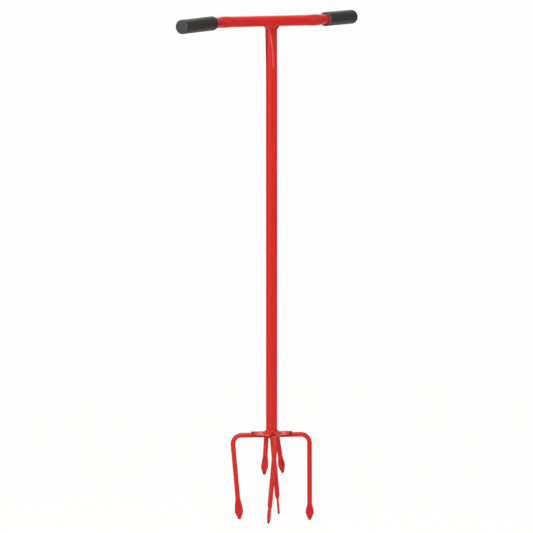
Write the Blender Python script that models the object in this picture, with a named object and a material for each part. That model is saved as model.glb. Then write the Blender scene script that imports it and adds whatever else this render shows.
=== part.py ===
"""Claw cultivator: a bent two-hand handle on a tube shaft, with six bar tines under a pressed hub.

Sizes are in metres and angles in degrees. +Z runs up along the shaft, and the origin is at ground
level, midway between the ends of the two grips. The handle is welded a little off its middle, so
the shaft stands a few millimetres aside. The four long tines stand on z = 0, and their arms leave
the hub near +X, +Y, -X and -Y.
"""
import math
from collections import namedtuple

import bmesh
import bpy
from mathutils import Matrix, Vector

# Overall heights, from the tips of the long tines
HANDLE_HEIGHT = 0.979
ARM_HEIGHT = 0.168

# Fits
SEAT_GAP = 0.0003
GRIP_FIT = 0.0003
ARCH_CLEARANCE = 0.0005

# Handle tube, bent one way at each end
HANDLE_DIAMETER = 0.0208
HANDLE_WALL = 0.0016
HANDLE_HEADING = 14.9
HANDLE_CORNER_REACH = 0.0955
HANDLE_END_RUN = 0.152
HANDLE_BEND_TURN_LEFT = 38.1
HANDLE_BEND_TURN_RIGHT = 40.9
HANDLE_BEND_RADIUS = 0.050
HANDLE_BEND_OVALITY = 0.07
HANDLE_END_DROOP = 0.6
HANDLE_SHIFT_LEFT = 0.0045

# Slip-on grips
GRIP_DIAMETER = 0.0278
GRIP_LENGTH = 0.112
GRIP_END_WALL = 0.0045
GRIP_EDGE_RADIUS = 0.0022
GRIP_MOUTH_DEPTH = 0.006
GRIP_MOUTH_FLARE = 0.0005
GRIP_MOUTH_RADIUS = 0.0010

# Shaft tube, pressed a little oval where it meets the handle
SHAFT_DIAMETER = 0.022
SHAFT_WALL = 0.0015
SHAFT_PRESS = 0.0005
SHAFT_PRESS_LENGTH = 0.090
SHAFT_COPE = 0.0010

# Weld beads, with rippled surfaces
HANDLE_WELD_WIDTH = 0.0016
HANDLE_WELD_FLARE = 0.0046
HANDLE_WELD_LUMP = 0.0014
HANDLE_WELD_DROP = 0.0058
HANDLE_WELD_CLIMB = 0.0032
HANDLE_WELD_REACH_IN = 0.0012
HANDLE_WELD_TOE = 0.0005
HANDLE_WELD_HOLLOW = 2.4
HANDLE_WELD_FULL = 0.6
FOOT_WELD_WIDTH = 0.0024
FOOT_WELD_HEIGHT = 0.0030
FOOT_WELD_HOLLOW = 1.5
WELD_RIPPLE = 0.07
WELD_SWELL = 0.03
WELD_RIPPLES = 17
SEAM_WELD_RADIUS = 0.0015
SEAM_WELD_END = 0.35
SEAM_WELD_SHARE = 0.42

# Pressed hub plate: a four-pointed star with an arch over each arm
PLATE_THICKNESS = 0.002
PLATE_POINT_REACH = 0.041
PLATE_POINT_ROUND = 0.0015
PLATE_WEB_DEPTH = 0.0070
PLATE_ARCH_ANGLE = 65.0
PLATE_FILLET = 0.0045
PLATE_FLAT_MARGIN = 0.0002
PLATE_PRESS_SHARE = 0.85

# Round bar of the tines
BAR_DIAMETER = 0.0094
ARM_START = 0.0060
ARM_BEND_RADIUS = 0.017

# Short tines between the arms
SHORT_TINE_SPACE = 0.0019
SHORT_TINE_DROP = 0.0785
SHORT_HEAD_DROP = 0.0018
SHORT_HEAD_RELIEF = 0.0007

# Forged blades
BLADE_THICKNESS = 0.0044
BLADE_FULLNESS = 3.0
BLADE_SPREAD_CURVE = 0.6
BLADE_EDGE_CURVE = 0.9
BLADE_TIP_WIDTH = 0.0030
BLADE_TIP_THICKNESS = 0.0040
BLADE_TIP_BEVEL = 0.0060
BLADE_STEP = 0.0085
BLADE_STEP_LEAD = 0.0034
LONG_BLADE_WIDTH = 0.0164
LONG_BLADE_SHOULDER = 0.0150
SHORT_BLADE_WIDTH = 0.0158
SHORT_BLADE_SHOULDER = 0.0158
TIP_TRIM = 0.0006

# The tines one by one: the heading and reach of the arm, how far the leg leans in and clockwise,
# how long its blade is, and how far the bar was turned about itself before it was bent
LongTine = namedtuple("LongTine", "name heading reach inward_lean clockwise_lean blade_length blade_turn")
ShortTine = namedtuple("ShortTine", "name heading inward_lean clockwise_lean blade_length blade_turn")
LONG_TINES = (
    LongTine("tine_right", 3.0, 0.0750, 0.5, 4.5, 0.032, 0.0),
    LongTine("tine_back", 84.5, 0.0762, -2.0, 4.9, 0.035, 0.0),
    LongTine("tine_left", 180.0, 0.0775, 5.4, 4.5, 0.043, 0.0),
    LongTine("tine_front", 270.5, 0.0762, 9.0, 4.0, 0.034, 14.0),
)
SHORT_TINES = (
    ShortTine("short_tine_right", 45.0, -8.2, 4.5, 0.035, -14.0),
    ShortTine("short_tine_left", 225.0, 0.3, 4.5, 0.041, -17.0),
)

# Facets
TUBE_SIDES = 28
BAR_SIDES = 18
SEAM_SIDES = 8
BEND_STEPS = 9
BLADE_STEPS = 9
BLADE_TIP_STEPS = 5
SHAFT_PRESS_STEPS = 5
GRIP_EDGE_STEPS = 4
WELD_STEPS = 68
WELD_RISE_STEPS = 4
SEAM_STEPS = 6
PLATE_ROWS = 10
PLATE_STEPS = 6
CREASE_ANGLE = 38.0
MERGE_DISTANCE = 0.00001

# Finishes
RED = (0.62, 0.022, 0.018)
BLACK = (0.035, 0.033, 0.030)

# Sizes that follow from the ones above
HANDLE_RADIUS = HANDLE_DIAMETER / 2
SHAFT_RADIUS = SHAFT_DIAMETER / 2
BAR_RADIUS = BAR_DIAMETER / 2
ARCH_RADIUS = BAR_RADIUS + ARCH_CLEARANCE
PLATE_TOP = ARM_HEIGHT + ARCH_RADIUS + PLATE_THICKNESS
SHAFT_FOOT = PLATE_TOP + SEAT_GAP
SHAFT_TOP = HANDLE_HEIGHT - HANDLE_RADIUS + SHAFT_COPE
SHORT_TINE_OFFSET = BAR_DIAMETER + SHORT_TINE_SPACE
SHORT_TINE_RADIUS = SHORT_TINE_OFFSET * math.sqrt(2)
PLATE_VALLEY_REACH = SHORT_TINE_RADIUS + BAR_RADIUS
FOOT_WELD_REACH = SHAFT_RADIUS + SEAT_GAP + FOOT_WELD_WIDTH * (1 + WELD_RIPPLE + WELD_SWELL)
PLATE_FLAT_RADIUS = FOOT_WELD_REACH + PLATE_FLAT_MARGIN
PLATE_PRESS_RUN = (PLATE_VALLEY_REACH - PLATE_FLAT_RADIUS) * PLATE_PRESS_SHARE
PLATE_WEB_UNDERSIDE = ARCH_RADIUS - PLATE_WEB_DEPTH


def remove_everything():
    """Start from an empty scene."""
    for thing in list(bpy.data.objects):
        bpy.data.objects.remove(thing, do_unlink=True)


def finish(name, colour, roughness, metallic):
    """One Principled material for one piece."""
    material = bpy.data.materials.new(name)
    material.use_nodes = True
    shader = material.node_tree.nodes["Principled BSDF"]
    shader.inputs["Base Color"].default_value = (*colour, 1.0)
    shader.inputs["Roughness"].default_value = roughness
    shader.inputs["Metallic"].default_value = metallic
    return material


def painted(name):
    """Red powder coat on steel."""
    return finish(name + "_paint", RED, 0.35, 0.0)


def empty(name, location, heading, parent=None):
    """An empty that carries a group of pieces."""
    holder = bpy.data.objects.new(name, None)
    holder.location = location
    holder.rotation_euler = (0.0, 0.0, math.radians(heading))
    holder.parent = parent
    bpy.context.scene.collection.objects.link(holder)
    return holder


def add_piece(name, bm, material, parent):
    """Turn a bmesh into a smooth-shaded object with its faces pointing out."""
    bmesh.ops.recalc_face_normals(bm, faces=bm.faces)
    mesh = bpy.data.meshes.new(name)
    bm.to_mesh(mesh)
    bm.free()
    mesh.shade_smooth()
    mesh.set_sharp_from_angle(angle=math.radians(CREASE_ANGLE))
    if material:
        mesh.materials.append(material)
    piece = bpy.data.objects.new(name, mesh)
    piece.parent = parent
    bpy.context.scene.collection.objects.link(piece)
    return piece


def skin(bm, rings, wraps=False):
    """Faces between neighbouring rings; the ends are capped unless the last ring meets the first."""
    loops = [[bm.verts.new(point) for point in ring] for ring in rings]
    following = loops[1:] + loops[:1] if wraps else loops[1:]
    for near, far in zip(loops, following):
        for k in range(len(near)):
            bm.faces.new((near[k - 1], near[k], far[k], far[k - 1]))
    if not wraps:
        bm.faces.new(loops[0])
        bm.faces.new(loops[-1])


def cut_away(bm, point, normal):
    """Remove what lies past a plane and close the cut."""
    geometry = bm.verts[:] + bm.edges[:] + bm.faces[:]
    bmesh.ops.bisect_plane(bm, geom=geometry, plane_co=point, plane_no=normal, clear_outer=True)
    rim = [edge for edge in bm.edges if edge.is_boundary]
    bmesh.ops.holes_fill(bm, edges=rim)


def smooth_step(value):
    """0 below 0, 1 above 1 and an S-curve between."""
    value = min(max(value, 0.0), 1.0)
    return value * value * (3 - 2 * value)


def level_direction(heading, slope=0.0):
    """Unit vector at a heading, counted from +X towards +Y, that falls by slope degrees."""
    turn = math.radians(heading)
    fall = math.radians(slope)
    return Vector((math.cos(turn) * math.cos(fall), math.sin(turn) * math.cos(fall), -math.sin(fall)))


def bend(corner, arriving, leaving, radius, steps):
    """Points, directions and shares of the turn along an arc that rounds a corner."""
    turn = arriving.angle(leaving)
    setback = radius * math.tan(turn / 2)
    inward = (leaving - arriving * arriving.dot(leaving)).normalized()
    centre = corner - arriving * setback + inward * radius
    stations = []
    for step in range(steps + 1):
        share = step / steps
        angle = turn * share
        point = centre - inward * radius * math.cos(angle) + arriving * radius * math.sin(angle)
        direction = arriving * math.cos(angle) + inward * math.sin(angle)
        stations.append((point, direction, share))
    return stations


def oval_ring(centre, across, upward, half_width, half_height, sides, fullness=2.0):
    """One cross-section: an ellipse, squared up where fullness is over 2."""
    power = 2.0 / fullness
    ring = []
    for k in range(sides):
        angle = 2 * math.pi * k / sides
        side = math.copysign(abs(math.cos(angle)) ** power, math.cos(angle))
        rise = math.copysign(abs(math.sin(angle)) ** power, math.sin(angle))
        ring.append(centre + across * half_width * side + upward * half_height * rise)
    return ring


def handle_corner(side):
    """Where the middle and one end run of the handle tube would meet, in the handle's frame."""
    return Vector((side * HANDLE_CORNER_REACH - HANDLE_SHIFT_LEFT, 0.0, 0.0))


def handle_tail(side):
    """Direction in which one end of the handle tube runs out, in the handle's frame."""
    turn = HANDLE_BEND_TURN_LEFT if side < 0 else HANDLE_BEND_TURN_RIGHT
    tail = level_direction(turn, HANDLE_END_DROOP)
    return Vector((tail.x * side, tail.y * side, tail.z))


def handle_path():
    """Stations from the left end of the handle tube to the right: point, direction, ovality.

    They are in the handle's own frame, with +X along the middle of the tube.
    """
    stations = []
    for side in (-1, 1):
        outward = Vector((side, 0.0, 0.0))
        corner = handle_corner(side)
        tail = handle_tail(side)
        arc = bend(corner, outward, tail, HANDLE_BEND_RADIUS, BEND_STEPS)
        half = [(point, direction * side, math.sin(math.pi * share)) for point, direction, share in arc]
        end = corner + tail * (HANDLE_END_RUN - GRIP_END_WALL - GRIP_FIT)
        half.append((end, tail * side, 0.0))
        stations = half[::-1] + stations if side < 0 else stations + half
    return stations


def add_handle_tube(parent):
    """Round tube with two bends, drawn a little oval where it is bent."""
    bm = bmesh.new()
    outside = []
    bore = []
    for point, direction, ovality in handle_path():
        across = direction.cross(Vector((0, 0, 1))).normalized()
        upward = across.cross(direction)
        taller = 1 + HANDLE_BEND_OVALITY * ovality
        narrower = 2 - taller
        inner = HANDLE_RADIUS - HANDLE_WALL
        outside.append(oval_ring(point, across, upward, HANDLE_RADIUS * narrower,
                                 HANDLE_RADIUS * taller, TUBE_SIDES))
        bore.append(oval_ring(point, across, upward, inner * narrower, inner * taller, TUBE_SIDES))
    skin(bm, outside + bore[::-1], wraps=True)
    return add_piece("handle_tube", bm, painted("handle_tube"), parent)


def quarter_round(along, radius, rounding, first_angle):
    """Points on a quarter circle about (along, radius) in a half-section, from an angle clockwise."""
    points = []
    for step in range(GRIP_EDGE_STEPS + 1):
        angle = math.radians(first_angle - 90 * step / GRIP_EDGE_STEPS)
        points.append((along + rounding * math.cos(angle), radius + rounding * math.sin(angle)))
    return points


def grip_profile():
    """Half-section of a grip along +X from its mouth: flared mouth, outside, closed end and bore."""
    radius = GRIP_DIAMETER / 2
    bore = HANDLE_RADIUS + GRIP_FIT
    inside = GRIP_LENGTH - GRIP_END_WALL
    profile = [(GRIP_MOUTH_DEPTH, bore), (0.0, bore + GRIP_MOUTH_FLARE)]
    profile += quarter_round(GRIP_MOUTH_RADIUS, radius - GRIP_MOUTH_RADIUS, GRIP_MOUTH_RADIUS, 180)
    profile += quarter_round(GRIP_LENGTH - GRIP_EDGE_RADIUS, radius - GRIP_EDGE_RADIUS, GRIP_EDGE_RADIUS, 90)
    profile.append((GRIP_LENGTH, 0.0))
    profile.append((inside, 0.0))
    profile.append((inside, bore))
    return profile


def add_grip(name, side, parent):
    """Black slip-on grip: a sleeve closed at its outer end, turned about the tube's end run."""
    bm = bmesh.new()
    verts = [bm.verts.new((along, 0.0, radius)) for along, radius in grip_profile()]
    pairs = [(near, far) for near, far in zip(verts, verts[1:] + verts[:1])]
    edges = [bm.edges.new(pair) for pair in pairs if pair[0].co.z + pair[1].co.z > MERGE_DISTANCE]
    bmesh.ops.spin(bm, geom=verts + edges, cent=(0, 0, 0), axis=(1, 0, 0),
                   angle=2 * math.pi, steps=TUBE_SIDES, use_merge=True)
    bmesh.ops.remove_doubles(bm, verts=bm.verts, dist=MERGE_DISTANCE)
    grip = add_piece(name, bm, finish(name + "_pvc", BLACK, 0.55, 0.0), parent)
    tail = handle_tail(side)
    grip.location = handle_corner(side) + tail * (HANDLE_END_RUN - GRIP_LENGTH)
    grip.rotation_euler = tail.to_track_quat("X", "Z").to_euler()
    return grip


def add_handle_cutter(parent):
    """Guide body that leaves room for the handle tube in what is welded under it."""
    bm = bmesh.new()
    bmesh.ops.create_cone(bm, cap_ends=True, segments=TUBE_SIDES * 2, radius1=HANDLE_RADIUS + SEAT_GAP,
                          radius2=HANDLE_RADIUS + SEAT_GAP, depth=HANDLE_CORNER_REACH,
                          matrix=Matrix.Rotation(math.radians(90), 4, "Y"))
    cutter = add_piece("handle_cutter", bm, None, parent)
    cutter.hide_render = True
    cutter.display_type = "WIRE"
    return cutter


def cope(piece, cutter):
    """Cut the seat of the handle tube into a piece."""
    cut = piece.modifiers.new("handle_seat", "BOOLEAN")
    cut.operation = "DIFFERENCE"
    cut.object = cutter


def shaft_half_sizes(height):
    """Half width and half depth of the shaft, which is pressed oval towards its top."""
    press = SHAFT_PRESS * smooth_step((height - SHAFT_TOP + SHAFT_PRESS_LENGTH) / SHAFT_PRESS_LENGTH)
    return SHAFT_RADIUS + press, SHAFT_RADIUS - press


def add_shaft_tube(parent, cutter):
    """Straight tube, seated on the hub plate and cut to the handle tube's curve at its top."""
    bm = bmesh.new()
    heights = [SHAFT_FOOT]
    for step in range(SHAFT_PRESS_STEPS + 1):
        heights.append(SHAFT_TOP - SHAFT_PRESS_LENGTH * (1 - step / SHAFT_PRESS_STEPS))
    across, away = Vector((1, 0, 0)), Vector((0, 1, 0))
    outside = []
    bore = []
    for height in heights:
        width, depth = shaft_half_sizes(height)
        centre = Vector((0, 0, height))
        outside.append(oval_ring(centre, across, away, width, depth, TUBE_SIDES))
        bore.append(oval_ring(centre, across, away, width - SHAFT_WALL, depth - SHAFT_WALL, TUBE_SIDES))
    skin(bm, outside + bore[::-1], wraps=True)
    shaft = add_piece("shaft_tube", bm, painted("shaft_tube"), parent)
    cope(shaft, cutter)
    return shaft


def weld_ripple(angle):
    """Size of a bead at an angle round a tube, as a share of its mean: fine ripples on a slow swell."""
    return 1 + WELD_RIPPLE * math.cos(WELD_RIPPLES * angle) + WELD_SWELL * math.sin(3 * angle)


def ring_section(angle, inner_width, inner_depth, outline):
    """One slice of a ring bead: (distance out, height) points set against an oval tube."""
    side, away = math.cos(angle), math.sin(angle)
    inner = 1 / math.hypot(side / inner_width, away / inner_depth)
    return [Vector((side * (inner + out), away * (inner + out), height)) for out, height in outline]


def add_handle_weld(parent, cutter):
    """Bead round the top of the shaft that climbs onto the handle tube in front and behind.

    It is drawn out into a long hollow flare on the left and stands proud as a lump on the right.
    """
    bm = bmesh.new()
    width, depth = shaft_half_sizes(SHAFT_TOP)
    bottom = SHAFT_TOP - HANDLE_WELD_DROP
    top = SHAFT_TOP + HANDLE_WELD_CLIMB
    rim = SHAFT_TOP + SEAT_GAP
    rings = []
    for step in range(WELD_STEPS):
        angle = 2 * math.pi * step / WELD_STEPS
        left = max(-math.cos(angle), 0.0) ** 6
        right = max(math.cos(angle), 0.0) ** 4
        out = HANDLE_WELD_WIDTH + HANDLE_WELD_FLARE * left + HANDLE_WELD_LUMP * right
        out *= weld_ripple(angle)
        curve = HANDLE_WELD_HOLLOW + (HANDLE_WELD_FULL - HANDLE_WELD_HOLLOW) * right
        outline = [(0.0, bottom)]
        for rise in range(WELD_RISE_STEPS + 1):
            share = rise / WELD_RISE_STEPS
            spread = HANDLE_WELD_TOE + (out - HANDLE_WELD_TOE) * share ** curve
            outline.append((spread, bottom + HANDLE_WELD_DROP * share))
        outline += [(-HANDLE_WELD_REACH_IN / 2, top), (-HANDLE_WELD_REACH_IN, top),
                    (-HANDLE_WELD_REACH_IN, rim), (0.0, rim)]
        rings.append(ring_section(angle, width + SEAT_GAP, depth + SEAT_GAP, outline))
    skin(bm, rings, wraps=True)
    weld = add_piece("handle_weld", bm, painted("handle_weld"), parent)
    cope(weld, cutter)
    return weld


def add_foot_weld(parent):
    """Hollow fillet bead between the foot of the shaft and the flat middle of the hub plate."""
    bm = bmesh.new()
    inner = SHAFT_RADIUS + SEAT_GAP
    rings = []
    for step in range(WELD_STEPS):
        angle = 2 * math.pi * step / WELD_STEPS
        size = weld_ripple(angle)
        outline = [(0.0, SHAFT_FOOT)]
        for rise in range(WELD_RISE_STEPS + 1):
            share = rise / WELD_RISE_STEPS
            spread = FOOT_WELD_WIDTH * size * (1 - share) ** FOOT_WELD_HOLLOW
            outline.append((spread, SHAFT_FOOT + FOOT_WELD_HEIGHT * size * share))
        rings.append(ring_section(angle, inner, inner, outline))
    skin(bm, rings, wraps=True)
    return add_piece("foot_weld", bm, painted("foot_weld"), parent)


def arch_stations():
    """Distances from an arm where the arch's arc ends, its fillet starts and its fillet ends."""
    tilt = math.radians(PLATE_ARCH_ANGLE)
    arc_end = ARCH_RADIUS * math.sin(tilt)
    flank_drop = PLATE_WEB_DEPTH - (ARCH_RADIUS + PLATE_FILLET) * (1 - math.cos(tilt))
    fillet_start = arc_end + flank_drop / math.tan(tilt)
    return arc_end, fillet_start, fillet_start + PLATE_FILLET * math.sin(tilt)


def arch_drop(distance):
    """Fall of the plate's underside at a distance from an arm: an arc, a flank and a fillet."""
    tilt = math.radians(PLATE_ARCH_ANGLE)
    arc_end, fillet_start, fillet_end = arch_stations()
    if distance <= arc_end:
        return ARCH_RADIUS - math.sqrt(ARCH_RADIUS ** 2 - distance ** 2)
    if distance <= fillet_start:
        return ARCH_RADIUS * (1 - math.cos(tilt)) + (distance - arc_end) * math.tan(tilt)
    if distance >= fillet_end:
        return PLATE_WEB_DEPTH
    short_of_end = fillet_end - distance
    rise = PLATE_FILLET - math.sqrt(PLATE_FILLET ** 2 - short_of_end ** 2)
    return PLATE_WEB_DEPTH - rise


def plate_underside(point):
    """Height of the plate's underside over the arms' centre plane: flat in the middle."""
    nearest = min(abs(level_direction(tine.heading + 90).dot(point)) for tine in LONG_TINES
                  if level_direction(tine.heading).dot(point) >= 0)
    press = smooth_step((point.length - PLATE_FLAT_RADIUS) / PLATE_PRESS_RUN)
    return ARCH_RADIUS - arch_drop(nearest) * press


def point_outline(aside, valley_along, valley_aside):
    """How far a star point reaches along its arm at a distance aside from it."""
    full = math.hypot(valley_aside, PLATE_POINT_ROUND) - PLATE_POINT_ROUND
    here = math.hypot(aside, PLATE_POINT_ROUND) - PLATE_POINT_ROUND
    return PLATE_POINT_REACH - (PLATE_POINT_REACH - valley_along) * here / full


def half_point_rows(heading, half_angle, side):
    """Rows of points, parallel to an arm, that fill one half of its star point."""
    along = level_direction(heading)
    aside = level_direction(heading + 90 * side)
    half = math.radians(half_angle)
    valley_along = PLATE_VALLEY_REACH * math.cos(half)
    valley_aside = PLATE_VALLEY_REACH * math.sin(half)
    rows = []
    for row in range(PLATE_ROWS + 1):
        share = row / PLATE_ROWS
        start = valley_along * share
        offset = valley_aside * share
        stop = point_outline(offset, valley_along, valley_aside)
        points = []
        for step in range(PLATE_STEPS + 1):
            point = along * (start + (stop - start) * step / PLATE_STEPS) + aside * offset
            point.z = plate_underside(point)
            points.append(point)
        rows.append(points)
    return rows


def add_hub_plate(parent):
    """Pressed sheet star: arches over the arms, valleys between them, flat under the shaft."""
    bm = bmesh.new()
    headings = sorted(tine.heading for tine in LONG_TINES)
    for index, heading in enumerate(headings):
        to_next = (headings[(index + 1) % len(headings)] - heading) % 360
        to_previous = (heading - headings[index - 1]) % 360
        for side, gap in ((1, to_next), (-1, to_previous)):
            rows = half_point_rows(heading, gap / 2, side)
            grid = [[bm.verts.new(point) for point in row] for row in rows]
            for near, far in zip(grid, grid[1:]):
                for k in range(PLATE_STEPS):
                    corners = (near[k], near[k + 1], far[k + 1], far[k])
                    bm.faces.new(corners if side > 0 else corners[::-1])
    bmesh.ops.remove_doubles(bm, verts=bm.verts, dist=MERGE_DISTANCE)
    plate = add_piece("hub_plate", bm, painted("hub_plate"), parent)
    sheet = plate.modifiers.new("sheet", "SOLIDIFY")
    sheet.thickness = PLATE_THICKNESS
    sheet.offset = 1.0
    sheet.use_even_offset = True
    return plate


def blade_sections(tip, direction, width_axis, face_axis, width, length, shoulder):
    """Cross-sections from the neck of a forged blade to its tip.

    The bar keeps its volume: it thins within the step and spreads to the shoulder, and from
    there both edges run nearly straight to a blunt tip.
    """
    distances = [length + BLADE_STEP_LEAD]
    distances += [length + (shoulder - length) * step / BLADE_STEPS for step in range(BLADE_STEPS)]
    distances += [shoulder * (1 - step / BLADE_TIP_STEPS) for step in range(BLADE_TIP_STEPS + 1)]
    rings = []
    for distance in distances:
        flattened = smooth_step((length + BLADE_STEP_LEAD - distance) / BLADE_STEP)
        spread = smooth_step((length - distance) / (length - shoulder)) ** BLADE_SPREAD_CURVE
        taper = min(distance / shoulder, 1.0) ** BLADE_EDGE_CURVE
        half_width = BAR_RADIUS + (width / 2 - BAR_RADIUS) * spread
        half_width = BLADE_TIP_WIDTH / 2 + (half_width - BLADE_TIP_WIDTH / 2) * taper
        half_face = BAR_RADIUS + (BLADE_THICKNESS / 2 - BAR_RADIUS) * flattened
        thinning = min(distance / BLADE_TIP_BEVEL, 1.0)
        half_face = BLADE_TIP_THICKNESS / 2 + (half_face - BLADE_TIP_THICKNESS / 2) * thinning
        fullness = 2 + (BLADE_FULLNESS - 2) * flattened
        rings.append(oval_ring(tip - direction * distance, width_axis, face_axis,
                               half_width, half_face, BAR_SIDES, fullness))
    return rings


def leg_direction(tine):
    """Direction down a leg, in the frame of an arm that leaves along +X."""
    inward = math.tan(math.radians(tine.inward_lean))
    clockwise = math.tan(math.radians(tine.clockwise_lean))
    return Vector((-inward, -clockwise, -1.0)).normalized()


def section_axes(direction, arm_face, turn):
    """Width and face axes of a bar's section, turned about the bar from the plane of its arm."""
    face = Matrix.Rotation(-math.radians(turn), 3, direction) @ arm_face
    return face.cross(direction), face


def add_long_tine(tine, parent):
    """Bar that runs out under the hub plate, turns down and ends in a blade."""
    outward = Vector((1, 0, 0))
    down = leg_direction(tine)
    corner = outward * tine.reach
    tip = corner + down * ((ARM_HEIGHT + TIP_TRIM) / -down.z)
    arm_face = outward.cross(down).normalized()
    stations = [(outward * ARM_START, outward)]
    stations += [(point, direction) for point, direction, _ in
                 bend(corner, outward, down, ARM_BEND_RADIUS, BEND_STEPS)]
    bm = bmesh.new()
    rings = []
    for point, direction in stations:
        width_axis, face_axis = section_axes(direction, arm_face, tine.blade_turn)
        rings.append(oval_ring(point, width_axis, face_axis, BAR_RADIUS, BAR_RADIUS, BAR_SIDES))
    width_axis, face_axis = section_axes(down, arm_face, tine.blade_turn)
    rings += blade_sections(tip, down, width_axis, face_axis,
                            LONG_BLADE_WIDTH, tine.blade_length, LONG_BLADE_SHOULDER)
    skin(bm, rings)
    cut_away(bm, Vector((0, 0, -ARM_HEIGHT)), Vector((0, 0, -1)))
    piece = add_piece(tine.name, bm, painted(tine.name), parent)
    piece.rotation_euler = (0.0, 0.0, math.radians(tine.heading))
    return piece


def add_short_tine(tine, parent):
    """Straight bar with a blade, its head cut on the slope of the web that it hangs from."""
    down = leg_direction(tine)
    radial = Vector((1, 0, 0))
    width_axis, face_axis = section_axes(down, radial.cross(down).normalized(), tine.blade_turn)
    middle = radial * SHORT_TINE_RADIUS
    tip = middle + down * (SHORT_TINE_DROP / -down.z)
    head = middle - down * (ARCH_RADIUS / -down.z)
    bm = bmesh.new()
    rings = [oval_ring(head, width_axis, face_axis, BAR_RADIUS, BAR_RADIUS, BAR_SIDES)]
    rings += blade_sections(tip, down, width_axis, face_axis,
                            SHORT_BLADE_WIDTH, tine.blade_length, SHORT_BLADE_SHOULDER)
    skin(bm, rings)
    slope = math.atan2(PLATE_WEB_DEPTH, PLATE_PRESS_RUN)
    slope_middle = Vector((PLATE_FLAT_RADIUS + PLATE_PRESS_RUN / 2, 0, ARCH_RADIUS - PLATE_WEB_DEPTH / 2))
    normal = Vector((math.sin(slope), 0, math.cos(slope)))
    cut_away(bm, slope_middle - normal * (SHORT_HEAD_RELIEF + SEAT_GAP), normal)
    cut_away(bm, Vector((0, 0, ARCH_RADIUS - SHORT_HEAD_DROP)), Vector((0, 0, 1)))
    piece = add_piece(tine.name, bm, painted(tine.name), parent)
    piece.rotation_euler = (0.0, 0.0, math.radians(tine.heading))
    return piece


def seam_weld_seat():
    """Distance aside of an arm and height at which a seam bead touches the arm and the fillet."""
    to_arm = BAR_RADIUS + SEAT_GAP + SEAM_WELD_RADIUS
    to_fillet = PLATE_FILLET + SEAT_GAP + SEAM_WELD_RADIUS
    fillet_centre = Vector((arch_stations()[2], PLATE_WEB_UNDERSIDE + PLATE_FILLET))
    apart = fillet_centre.length
    along = (apart ** 2 + to_arm ** 2 - to_fillet ** 2) / (2 * apart)
    below = math.sqrt(max(to_arm ** 2 - along ** 2, 0.0))
    toward = fillet_centre / apart
    return toward.x * along + toward.y * below, toward.y * along - toward.x * below


def add_seam_weld(name, tine, side, parent):
    """Bead along one side of an arm, in the groove under the plate, past the short tine."""
    aside, height = seam_weld_seat()
    clear = BAR_RADIUS + SEAM_WELD_RADIUS + 2 * SEAT_GAP
    start = SHORT_TINE_OFFSET + math.sqrt(max(clear ** 2 - (SHORT_TINE_OFFSET - aside) ** 2, 0.0))
    run = (PLATE_POINT_REACH - start) * SEAM_WELD_SHARE
    along = level_direction(tine.heading)
    across = level_direction(tine.heading + 90 * side)
    bm = bmesh.new()
    rings = []
    for step in range(SEAM_STEPS + 1):
        share = step / SEAM_STEPS
        radius = SEAM_WELD_RADIUS * (SEAM_WELD_END + (1 - SEAM_WELD_END) * math.sin(math.pi * share))
        centre = along * (start + run * share) + across * aside
        centre.z = height
        rings.append(oval_ring(centre, across, Vector((0, 0, 1)), radius, radius, SEAM_SIDES))
    skin(bm, rings)
    return add_piece(name, bm, painted(name), parent)


def add_seam_welds(parent):
    """Beads that join the arms to the plate from below, one along each side of each arm."""
    for tine in LONG_TINES:
        for side, label in ((-1, "a"), (1, "b")):
            add_seam_weld(tine.name.replace("tine", "seam_weld") + "_" + label, tine, side, parent)


def shaft_place():
    """Where the shaft stands, so that the origin is midway between the ends of the grips."""
    heading = Matrix.Rotation(math.radians(HANDLE_HEADING), 3, "Z")
    ends = [heading @ (handle_corner(side) + handle_tail(side) * HANDLE_END_RUN) for side in (-1, 1)]
    middle = (ends[0] + ends[1]) / 2
    return -middle.x, -middle.y, 0.0


def build():
    """Put the cultivator together from the handle down."""
    remove_everything()
    whole = empty("cultivator", shaft_place(), 0)
    handle = empty("handle", (0, 0, HANDLE_HEIGHT), HANDLE_HEADING, whole)
    stem = empty("stem", (0, 0, 0), HANDLE_HEADING, whole)
    claw = empty("claw", (0, 0, ARM_HEIGHT), 0, whole)
    cutter = add_handle_cutter(handle)
    add_handle_tube(handle)
    add_grip("grip_left", -1, handle)
    add_grip("grip_right", 1, handle)
    add_shaft_tube(stem, cutter)
    add_handle_weld(stem, cutter)
    add_foot_weld(stem)
    add_hub_plate(claw)
    for tine in LONG_TINES:
        add_long_tine(tine, claw)
    for tine in SHORT_TINES:
        add_short_tine(tine, claw)
    add_seam_welds(claw)


build()
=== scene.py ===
import math
from collections import namedtuple

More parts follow.
